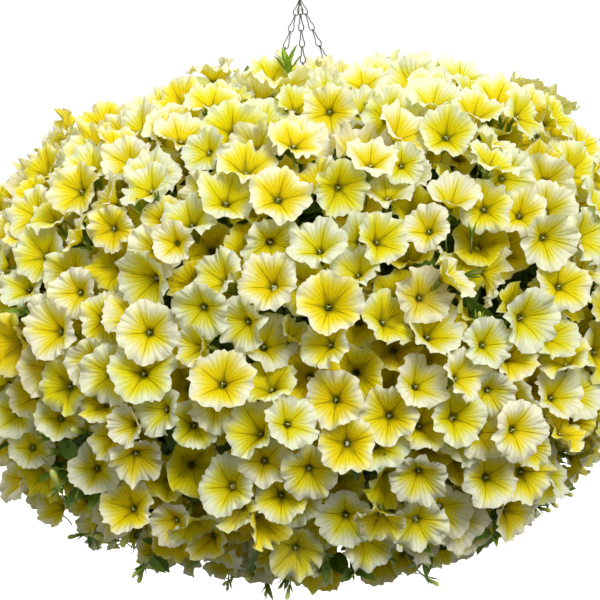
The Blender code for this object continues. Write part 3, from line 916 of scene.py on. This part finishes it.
def build_potting_mix():
    """Dark peaty mix: a crumbly surface with crumbs and white perlite on it."""
    inset = LINER_INSET + LINER_THICKNESS + TOUCH
    edge = RIM_RADIUS - inset
    start = math.asin((0.016 / BASKET_DEPTH) ** (BASKET_POWER / 2))
    wall = np.stack(basket_outline(inset, np.linspace(start, math.radians(87), 12)), axis=1)
    widest, low = wall[0]
    shares = np.linspace(0.02, 1, 26)
    top = np.stack([widest * shares, low + (SOIL_TOP - low) * (1 - shares**2)], axis=1)
    pile = turned_pile(np.vstack([wall[::-1], top[::-1][1:]]), 90, 0.0035, 0.0011, 5)
    rng = seeded("crumbs")
    for i in range(CRUMBS):
        r, a = edge * 0.93 * math.sqrt(rng.random()), rng.uniform(0, math.tau)
        place = round_axis(r, a, low + (SOIL_TOP - low) * (1 - (r / edge) ** 2))
        size = rng.uniform(0.0010, 0.0032)
        axis = unit(rng.normal(0, 1, 3))
        path = place + np.outer([-0.5, -0.2, 0.2, 0.5], axis) * size
        shape = tube(path, np.array([0.2, 0.5, 0.45, 0.15]) * size * rng.uniform(0.7, 1.2), 5)
        pile.add(*shape, (1.0 if i % 6 == 0 else 0.0, *rng.random(2), 0.5))
    return pile


def link_path(half_length):
    """A wire loop with a pinched waist and a quarter turn, so that its two eyes stand across each other."""
    t = circle(28)
    wide = LINK_HALF_WIDTH * 1.36 * np.sin(t) * (0.30 + 0.70 * np.abs(np.cos(t)))
    turn = math.pi / 2 * np.clip(0.5 - np.cos(t), 0, 1)
    return round_axis(wide, turn, half_length * np.cos(t))


def build_chain(index):
    outward = round_axis(1.0, FIRST_CHAIN_AT + index * math.tau / CHAINS)
    y = CHAIN_ON_RING[index]
    ring_low = np.array([0, y, RING_MIDDLE - math.sqrt(RING_RADIUS**2 - y**2)])
    rim = outward * RIM_RADIUS + UP * RIM_HEIGHT
    along = unit(rim - ring_low)
    top = ring_low - along * (RING_WIRE + LINK_WIRE + TOUCH)
    bottom = rim + along * (RIM_WIRE + LINK_WIRE + TOUCH)
    pitch = (np.linalg.norm(bottom - top) - 2 * LINK_WIRE) / LINKS
    path = link_path(pitch / 2 + LINK_WIRE)
    aside = unit(np.cross([0, 1, 0], along))
    pile = Pile()
    rng = seeded(f"chain{index}")
    for i in range(LINKS):
        x = aside_at((aside, np.cross(along, aside)), CHAIN_TURN + rng.uniform(-0.12, 0.12))
        axes = np.stack([x, np.cross(-along, x), -along])
        middle = top + along * (LINK_WIRE + pitch * (i + 0.5))
        pile.add(*loop_tube(middle + path @ axes, LINK_WIRE, 6), (*rng.random(2), 0.5, 0.5))
    return pile


def build_hook():
    """The hook, bent in one plane, and the ring that gathers the chains, across it."""
    bend = np.array([0, 0, HOOK_WIRE - HOOK_BEND])
    tip = bend + [HOOK_BEND + 0.002, 0, -0.010]
    over = bend + round_axis(HOOK_BEND, np.linspace(0, math.pi, 19))[:, [0, 2, 1]]
    neck = [[-0.0150, 0, -0.0210], [-0.0105, 0, -0.0290], [-0.0050, 0, -0.0350]]
    eye = UP * EYE_HEIGHT + round_axis(EYE_BEND, np.radians(np.linspace(105, -205, 27)))[:, [0, 2, 1]]
    pile, ring = Pile(), Pile()
    pile.add(*tube(curve_through(np.vstack([tip, over, neck, eye]), 3), HOOK_WIRE, 14))
    ring.add(*loop_tube(UP * RING_MIDDLE + round_axis(RING_RADIUS, circle(60))[:, [2, 0, 1]], RING_WIRE, 12))
    return pile, ring


# ------------------------------------------------------------------ materials
class Value:
    """What a shader node gives. Sums and products of it are shader nodes too."""

    def __init__(self, nodes, socket):
        self.nodes, self.socket = nodes, socket

    def __add__(self, other):
        return self.nodes.math("ADD", self, other)

    def __sub__(self, other):
        return self.nodes.math("SUBTRACT", self, other)

    def __mul__(self, other):
        return self.nodes.math("MULTIPLY", self, other)

    def __pow__(self, other):
        return self.nodes.math("POWER", self, other)

    def __abs__(self):
        return self.nodes.math("ABSOLUTE", self)


class Nodes:
    """Short names for the shader nodes that the materials and the world share."""

    def __init__(self, name, kind="materials"):
        self.owner = getattr(bpy.data, kind).new(name)
        self.owner.use_nodes = True
        self.tree = self.owner.node_tree
        self.shader = self.tree.nodes.get("Principled BSDF")

    def node(self, kind, **settings):
        made = self.tree.nodes.new(kind)
        for key, value in settings.items():
            setattr(made, key, value)
        return made

    def feed(self, node, **values):
        """Sets or links a node's inputs, by their names with _ for a space."""
        for key, value in values.items():
            self.set(node.inputs[key.replace("_", " ")], value)

    def set(self, socket, value):
        if isinstance(value, Value):
            self.tree.links.new(value.socket, socket)
        elif isinstance(value, tuple) and len(value) == 3 and len(socket.default_value) == 4:
            socket.default_value = (*value, 1.0)
        else:
            socket.default_value = value

    def out(self, node, which=0):
        return Value(self, node.outputs[which])

    def made(self, node, *values):
        """A new node's output, once its first inputs have their values."""
        for socket, value in zip(node.inputs, values):
            self.set(socket, value)
        return self.out(node)

    def math(self, operation, *values, clamp=False):
        return self.made(self.node("ShaderNodeMath", operation=operation, use_clamp=clamp), *values)

    def ridges(self, angle):
        """Folds of a wave: 0 at each of its crossings, and 1 between them."""
        return abs(self.math("SINE", angle))

    def mapped(self, value, low, high, to_low=0.0, to_high=1.0):
        node = self.node("ShaderNodeMapRange", interpolation_type="SMOOTHSTEP")
        return self.made(node, value, low, high, to_low, to_high)

    def mix(self, factor, first, second, blend="MIX"):
        node = self.node("ShaderNodeMix", data_type="RGBA", blend_type=blend)
        for number, value in ((0, factor), (6, first), (7, second)):
            self.set(node.inputs[number], value)
        return self.out(node, 2)

    def ramp(self, value, stops):
        node = self.node("ShaderNodeValToRGB")
        elements = node.color_ramp.elements
        while len(elements) < len(stops):
            elements.new(0.5)
        for element, (position, colour) in zip(elements, stops):
            element.position = position
            element.color = (*colour, 1.0)
        return self.made(node, value)

    def noise(self, vector, scale, detail=3.0, roughness=0.55):
        """Clouds of about scale to the metre."""
        node = self.node("ShaderNodeTexNoise")
        self.feed(node, Vector=vector, Scale=scale, Detail=detail, Roughness=roughness)
        return self.out(node, "Fac")

    def place(self, output="Object"):
        """Where the surface is, in metres, so that a pattern keeps its real size."""
        return self.out(self.node("ShaderNodeTexCoord"), output)

    def split(self, kind, source):
        node = self.node(kind)
        self.made(node, source)
        return [self.out(node, which) for which in range(3)]

    def tone(self):
        """The copy's own four shades."""
        node = self.node("ShaderNodeAttribute", attribute_name="tone")
        return (*self.split("ShaderNodeSeparateColor", self.out(node, "Color")), self.out(node, "Alpha"))

    def flat(self):
        """(x, y) on the unrolled petal or leaf."""
        node = self.node("ShaderNodeUVMap", uv_map="flat")
        return self.split("ShaderNodeSeparateXYZ", self.out(node))[:2]

    def grainy(self, grain, smooth, rough):
        """A roughness that follows the grain."""
        return self.mapped(grain, 0.3, 0.7, smooth, rough)

    def surface(self, colour, roughness, height, strength, distance, **more):
        """Gives the shader its colour, its roughness and its bumps."""
        bump = self.node("ShaderNodeBump")
        self.feed(bump, Strength=strength, Distance=distance, Height=height)
        self.normal = self.out(bump)
        self.feed(self.shader, Base_Color=colour, Roughness=roughness, Normal=self.normal, **more)
        return self.owner

    def thin_surface(self, glow, share, *surface, **more):
        """The same for a thin petal or leaf, which lets a share of the light through in the glow's colour."""
        self.surface(*surface, **more)
        light = self.node("ShaderNodeBsdfTranslucent")
        self.feed(light, Color=glow, Normal=self.normal)
        mixed = self.made(self.node("ShaderNodeMixShader"), share, self.out(self.shader), self.out(light))
        self.feed(self.tree.nodes["Material Output"], Surface=mixed)
        return self.owner


def petal_material():
    """Cream margin painted paler on the lit side as painted light, a lemon star along the five midribs, olive
    veins, an olive throat darkened further by painted shade.
    """
    n = Nodes("petunia_petal")
    x, y = (part - 0.5 for part in n.flat())
    rho = n.math("SQRT", x * x + y * y) * 2.0
    angle = n.math("ARCTAN2", y, x)
    yellow_tone, whiteness_and_painted_light, seed, age = n.tone()
    place = n.place()
    cloud = n.noise(place, 55.0, 3.0)
    fine_cloud = n.noise(place, 380.0, 4.0)
    # how far out the yellow goes: further along the midribs than between the lobes
    ray = (n.math("COSINE", angle * 5.0) * 0.5 + 0.5) ** 1.4
    streak = n.math("SINE", angle * 31.0 + seed * 20.0)
    out = rho - (ray * 0.20 - 0.09) + (cloud - 0.5) * 0.22 + (fine_cloud - 0.5) * 0.16 + streak * 0.018
    # painted light and shade: the second tone, random in part, is higher for flowers on the lit side and low
    # for inner ones in shade, and moves the margin's edge with it
    out = out + n.mapped(whiteness_and_painted_light, 0.0, 1.0, -0.30, 0.14)
    stops = [
        (0.14, (0.54, 0.425, 0.0005)),
        (0.24, (0.77, 0.600, 0.0005)),
        (0.35, (0.87, 0.690, 0.001)),
        (0.48, (0.87, 0.735, 0.008)),
        (0.58, (0.87, 0.770, 0.065)),
        (0.67, (0.87, 0.800, 0.195)),
        (0.78, (0.87, 0.835, 0.420)),
        (0.90, (0.88, 0.862, 0.700)),
    ]
    colour = n.ramp(out, stops)
    colour = n.mix(n.mapped(yellow_tone, 0.2, 1.0, 0.0, 0.75), colour, (0.86, 0.95, 0.92), "MULTIPLY")
    golden = n.mapped(yellow_tone, 0.0, 0.5, 0.75, 0.0) * n.mapped(out, 0.50, 0.75, 1.0, 0.0)
    colour = n.mix(golden, colour, (1.0, 0.945, 0.85), "MULTIPLY")
    # green-olive veins: a strong one on each midrib, finer ones between
    wobble = fine_cloud * 1.3
    mid = n.ridges(angle * 2.5) * rho
    mid_vein = n.mapped(mid, 0.0, 0.040, 1.0, 0.0) * n.mapped(rho, 0.45, 0.95, 1.0, 0.1)
    side = n.ridges(angle * 12.5 + wobble)
    side_vein = n.mapped(side, 0.0, 0.26, 1.0, 0.0) * n.mapped(rho, 0.30, 0.90, 0.90, 0.05)
    hair = n.ridges(angle * 37.5 + wobble * 2.0)
    hair_vein = n.mapped(hair, 0.0, 0.6, 1.0, 0.0) * n.mapped(rho, 0.40, 1.0, 0.45, 0.08)
    veins = n.math("MAXIMUM", n.math("MAXIMUM", mid_vein, side_vein), hair_vein)
    colour = n.mix(veins * 0.78, colour, (0.22, 0.24, 0.004))
    # throat and tube: an olive ring of their own colour, then painted shade going dark down into the recess
    # of the throat, then the olive-green tube
    colour = n.mix(n.mapped(rho, 0.13, 0.26, 0.55, 0.0), colour, (0.25, 0.22, 0.002))
    colour = n.mix(n.mapped(rho, 0.085, 0.17, 0.90, 0.0), colour, (0.115, 0.098, 0.004))
    colour = n.mix(n.mapped(rho, 0.075, 0.085, 1.0, 0.0), colour, (0.36, 0.44, 0.08))
    # worn flowers are duller and spotted
    worn = n.mapped(age, 0.72, 1.0) * n.mapped(cloud, 0.35, 0.75, 0.12, 0.45)
    colour = n.mix(worn, colour, (0.50, 0.40, 0.09))
    pleats = side**0.6 * n.mapped(rho, 0.25, 0.9, 0.5, 1.0)
    height = fine_cloud * 0.45 + pleats * 0.55 - mid_vein * 0.5
    glow = n.mix(0.90, colour, (0.95, 0.92, 0.20), "MULTIPLY")
    surface = (colour, n.grainy(fine_cloud, 0.50, 0.70), height, 0.85, 0.0014)
    return n.thin_surface(glow, 0.36, *surface, Specular_IOR_Level=0.12)


def leaf_material(name, dark, light, vein):
    n = Nodes(name)
    x, y = n.flat()
    place = n.place()
    fine = n.noise(place, 700.0, 3.0)
    cloud = n.noise(place, 90.0, 4.0)
    colour = n.mix(n.math("ADD", n.tone()[0] * 0.6, cloud * 0.9 - 0.25, clamp=True), dark, light)
    side = abs(x - 0.5)
    midrib = n.mapped(side, 0.0, 0.035, 1.0, 0.0)
    ribs = n.mapped(n.math("PINGPONG", y * 7.0 - side * 6.0, 0.5), 0.0, 0.09, 1.0, 0.0)
    veins = n.math("MAXIMUM", midrib, ribs * 0.45)
    colour = n.mix(veins * 0.55, colour, vein)
    surface = (colour, n.grainy(fine, 0.42, 0.62), fine * 0.35 - veins * 0.7, 0.6, 0.0008)
    return n.thin_surface(colour, 0.15, *surface, Specular_IOR_Level=0.3)


def flecked_material(name, dark, light, fleck, scale, detail, flecks, distance):
    """Anything from dark to light, with flecks."""
    n = Nodes(name)
    grain = n.noise(n.place(), scale, detail)
    colour = n.mix(n.tone()[0], dark, light)
    colour = n.mix(n.mapped(grain, 0.45, *flecks), colour, fleck)
    return n.surface(colour, n.grainy(grain, 0.5, 0.7), grain, 0.5, distance)


def bud_material():
    """Lime at the foot, pale yellow at the furled tip, with darker pleats."""
    n = Nodes("petunia_bud")
    x, y = n.flat()
    fine = n.noise(n.place(), 600.0)
    stops = [(0.10, (0.25, 0.36, 0.05)), (0.55, (0.55, 0.60, 0.12)), (0.95, (0.82, 0.79, 0.30))]
    colour = n.ramp(y + (n.tone()[0] * 0.5 - 0.25), stops)
    pleat = n.mapped(n.math("PINGPONG", x * 5.0 + y, 0.5), 0.0, 0.2, 1.0, 0.0)
    colour = n.mix(pleat * 0.4, colour, (0.28, 0.32, 0.03))
    return n.thin_surface(colour, 0.2, colour, n.grainy(fine, 0.45, 0.65), fine - pleat, 0.5, 0.0004)


def coir_material():
    n = Nodes("coir_felt")
    place = n.place()
    stretch = n.node("ShaderNodeMapping")
    n.feed(stretch, Vector=place, Rotation=(0.5, 0.9, 0.3), Scale=(1.0, 0.16, 0.5))
    fibres = n.noise(n.out(stretch), 900.0, 4.0, 0.7)
    blotch = n.noise(place, 45.0, 3.0)
    colour = n.mix(n.mapped(fibres, 0.3, 0.7), (0.060, 0.030, 0.014), (0.36, 0.20, 0.085))
    colour = n.mix(n.mapped(blotch, 0.35, 0.7, 0.0, 0.5), colour, (0.15, 0.075, 0.030))
    colour = n.mix(n.tone()[0] * 0.35, colour, (0.45, 0.29, 0.14))
    return n.surface(colour, n.grainy(fibres, 0.98, 0.8), fibres, 0.9, 0.0015)


def soil_material():
    n = Nodes("potting_mix_crumb")
    place = n.place()
    crumb = n.noise(place, 420.0, 5.0, 0.7)
    damp = n.noise(place, 30.0, 2.0)
    colour = n.mix(n.mapped(crumb, 0.3, 0.75), (0.010, 0.007, 0.005), (0.085, 0.055, 0.035))
    colour = n.mix(n.mapped(damp, 0.4, 0.7, 0.0, 0.4), colour, (0.018, 0.012, 0.008))
    perlite = n.mapped(n.tone()[0], 0.7, 0.9)
    colour = n.mix(perlite, colour, (0.72, 0.71, 0.66))
    return n.surface(colour, n.mapped(damp, 0.4, 0.7, 0.98, 0.75), crumb, 0.8, 0.0012)


def metal_material(name, dark, light, roughness, metallic):
    n = Nodes(name)
    place = n.place()
    wear = n.noise(place, 160.0, 4.0, 0.6)
    grain = n.noise(place, 1500.0, 3.0)
    colour = n.mix(n.mapped(wear, 0.35, 0.7), dark, light)
    rough = n.grainy(wear, roughness, roughness + 0.2)
    return n.surface(colour, rough, grain, 0.35, 0.00015, Metallic=metallic)


# ------------------------------------------------------------------ making the pieces
def settle(pile, name, material, slot, *nodes):
    obj = pile.object(name, material)
    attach(obj, "root")
    if nodes:
        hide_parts(*nodes)


petal = petal_material()
green = leaf_material("petunia_leaf", (0.022, 0.058, 0.004), (0.125, 0.225, 0.012), (0.25, 0.34, 0.05))
lime = leaf_material("petunia_young_leaf", (0.090, 0.205, 0.012), (0.30, 0.46, 0.030), (0.42, 0.55, 0.12))

flowers = place_flowers()
for (plant, tier), pile in build_flowers().items():
    settle(pile, f"plant_{plant + 1}_petals_{tier}", petal, "petal", f"plant_{plant + 1}_blooms_{tier}")
foliage = build_leaves()
build_gap_growth()
build_fringe(foliage)
crest = np.array([-0.016, -0.080, MOUND_TOP - 0.010])  # a large shoot stands up here
add_sprout(seeded("sprout"), crest, unit([-0.05, -0.1, 1.0]), 0.034, plant=4, leaves=10)
build_stems()
for (plant, tier), pile in foliage.items():
    settle(pile, f"plant_{plant + 1}_foliage_{tier}", green, "leaf", f"plant_{plant + 1}_leaves_{tier}")
bud = bud_material()
# pale green stigmas, and anthers from olive to cream
anther_colours = (0.26, 0.22, 0.05), (0.62, 0.70, 0.30), (0.80, 0.78, 0.50)
heart = flecked_material("petunia_heart", *anther_colours, 1800.0, 3.0, (0.7, 0.0, 0.6), 0.0002)
stem_colours = (0.13, 0.17, 0.045), (0.30, 0.42, 0.10), (0.24, 0.20, 0.08)
stem = flecked_material("petunia_stem", *stem_colours, 500.0, 4.0, (0.75, 0.0, 0.5), 0.0004)
for plant in range(PLANTS):
    name = f"plant_{plant + 1}"
    settle(stems[plant], f"{name}_shoots", stem, "stem", f"{name}_stems")
    settle(calyces[plant], f"{name}_calyces", lime, "leaf")
    settle(stamens[plant], f"{name}_stamens", heart, "petal")
    settle(buds[plant], f"{name}_buds", bud, "petal")

coated = metal_material("coated_wire", (0.016, 0.022, 0.018), (0.034, 0.040, 0.034), 0.35, 0.3)
steel = metal_material("chain_steel", (0.055, 0.056, 0.054), (0.20, 0.20, 0.19), 0.38, 0.85)
hook_pile, ring_pile = build_hook()
settle(hook_pile, "steel_hook", steel, "wire", "hook")
settle(ring_pile, "steel_ring", steel, "wire", "gather_ring")
for index in range(CHAINS):
    settle(build_chain(index), f"chain_{index + 1}_links", steel, "chain", f"chain_{index + 1}")
settle(build_wire_basket(), "basket_wires", coated, "wire", "wire_basket")
settle(build_liner(), "coir_felt_liner", coir_material(), "coir", "coir_liner")
settle(build_potting_mix(), "potting_mix_crumbs", soil_material(), "potting_mix", "potting_mix")


# ------------------------------------------------------------------ stage, light and camera
FLOOR_HEIGHT = -1.75
STUDIO_RADIUS = 40.0
BACKDROP_TOP = 6.5
BACKDROP_GLOW = 1.03
# height from straight down, 0, to straight up, 1, and the brightness there
SKY = ((0.35, 0.14), (0.47, 0.42), (0.60, 0.74), (0.75, 0.88), (1.0, 1.0))
# name, the way to it, strength and how many degrees wide it is
LIGHTS = (("key", (0.42, -0.92, 0.70), 3.2, 26), ("back_light", (-0.60, 0.75, 0.70), 1.5, 45))
CAMERA_DISTANCE = 2.25
CAMERA_LIFT = math.radians(6)
CAMERA_ROLL = math.radians(-3.3)
PICTURE_WIDTH = 0.645  # what the picture spans at the mound's middle
SENSOR = 36


def place_in_scene(name, data):
    obj = bpy.data.objects.new(name, data)
    bpy.context.scene.collection.objects.link(obj)
    return obj


def stage_piece(name, nodes, add, **settings):
    add(vertices=96, radius=STUDIO_RADIUS, **settings)
    obj = bpy.context.object
    obj.name = name
    obj.data.materials.append(nodes.owner)
    obj.visible_diffuse = False
    obj.visible_transmission = False
    return obj


def build_stage():
    """A pale floor, and a white backdrop round the studio that gives no light of its own to the flowers."""
    n = Nodes("stage_floor")
    cloud = n.noise(n.place(), 0.6, 2.0)
    n.feed(n.shader, Base_Color=n.mix(cloud, (0.90, 0.90, 0.90), (0.93, 0.93, 0.93)), Roughness=0.9)
    at = (0, 0, FLOOR_HEIGHT)
    stage_piece("stage_floor", n, bpy.ops.mesh.primitive_circle_add, fill_type="NGON", location=at)
    w = Nodes("stage_backdrop")
    tint = w.mix(w.noise(w.place(), 0.05, 1.0), (0.99, 0.99, 0.99), (1.0, 1.0, 1.0))
    glow = w.made(w.node("ShaderNodeEmission"), tint, BACKDROP_GLOW)
    w.feed(w.tree.nodes["Material Output"], Surface=glow)
    size = {"depth": BACKDROP_TOP - FLOOR_HEIGHT, "location": (0, 0, (BACKDROP_TOP + FLOOR_HEIGHT) / 2)}
    wall = bpy.ops.mesh.primitive_cylinder_add
    backdrop = stage_piece("stage_backdrop", w, wall, end_fill_type="NOTHING", **size)
    backdrop.visible_glossy = False
    backdrop.visible_shadow = False


def build_light():
    """Soft studio light: a dim horizon, a bright sky, a broad key from the upper right and a light behind."""
    w = Nodes("studio", "worlds")
    bpy.context.scene.world = w.owner
    height = w.split("ShaderNodeSeparateXYZ", w.place("Generated"))[2]
    colour = w.ramp(height * 0.5 + 0.5, [(at, (level, level * 0.98, level * 0.90)) for at, level in SKY])
    w.feed(w.tree.nodes["Background"], Color=colour, Strength=1.0)
    for name, toward, energy, angle in LIGHTS:
        light = bpy.data.lights.new(name, "SUN")
        light.energy = energy
        light.angle = math.radians(angle)
        place_in_scene(name, light).rotation_euler = Vector(toward).to_track_quat("Z", "Y").to_euler()


def build_camera():
    scene = bpy.context.scene
    camera = bpy.data.cameras.new("camera")
    camera.sensor_width = SENSOR
    camera.lens = SENSOR * CAMERA_DISTANCE / PICTURE_WIDTH
    camera.clip_end = 100
    obj = place_in_scene("camera", camera)
    aim = Vector((-0.018, 0, MOUND_MIDDLE + 0.019))
    toward = Vector((0, math.cos(CAMERA_LIFT), -math.sin(CAMERA_LIFT)))
    obj.location = aim - toward * CAMERA_DISTANCE
    obj.rotation_euler = toward.to_track_quat("-Z", "Y").to_euler()
    obj.rotation_euler.rotate_axis("Z", CAMERA_ROLL)
    scene.camera = obj
    scene.view_settings.view_transform = "Standard"


build_stage()
build_light()
build_camera()
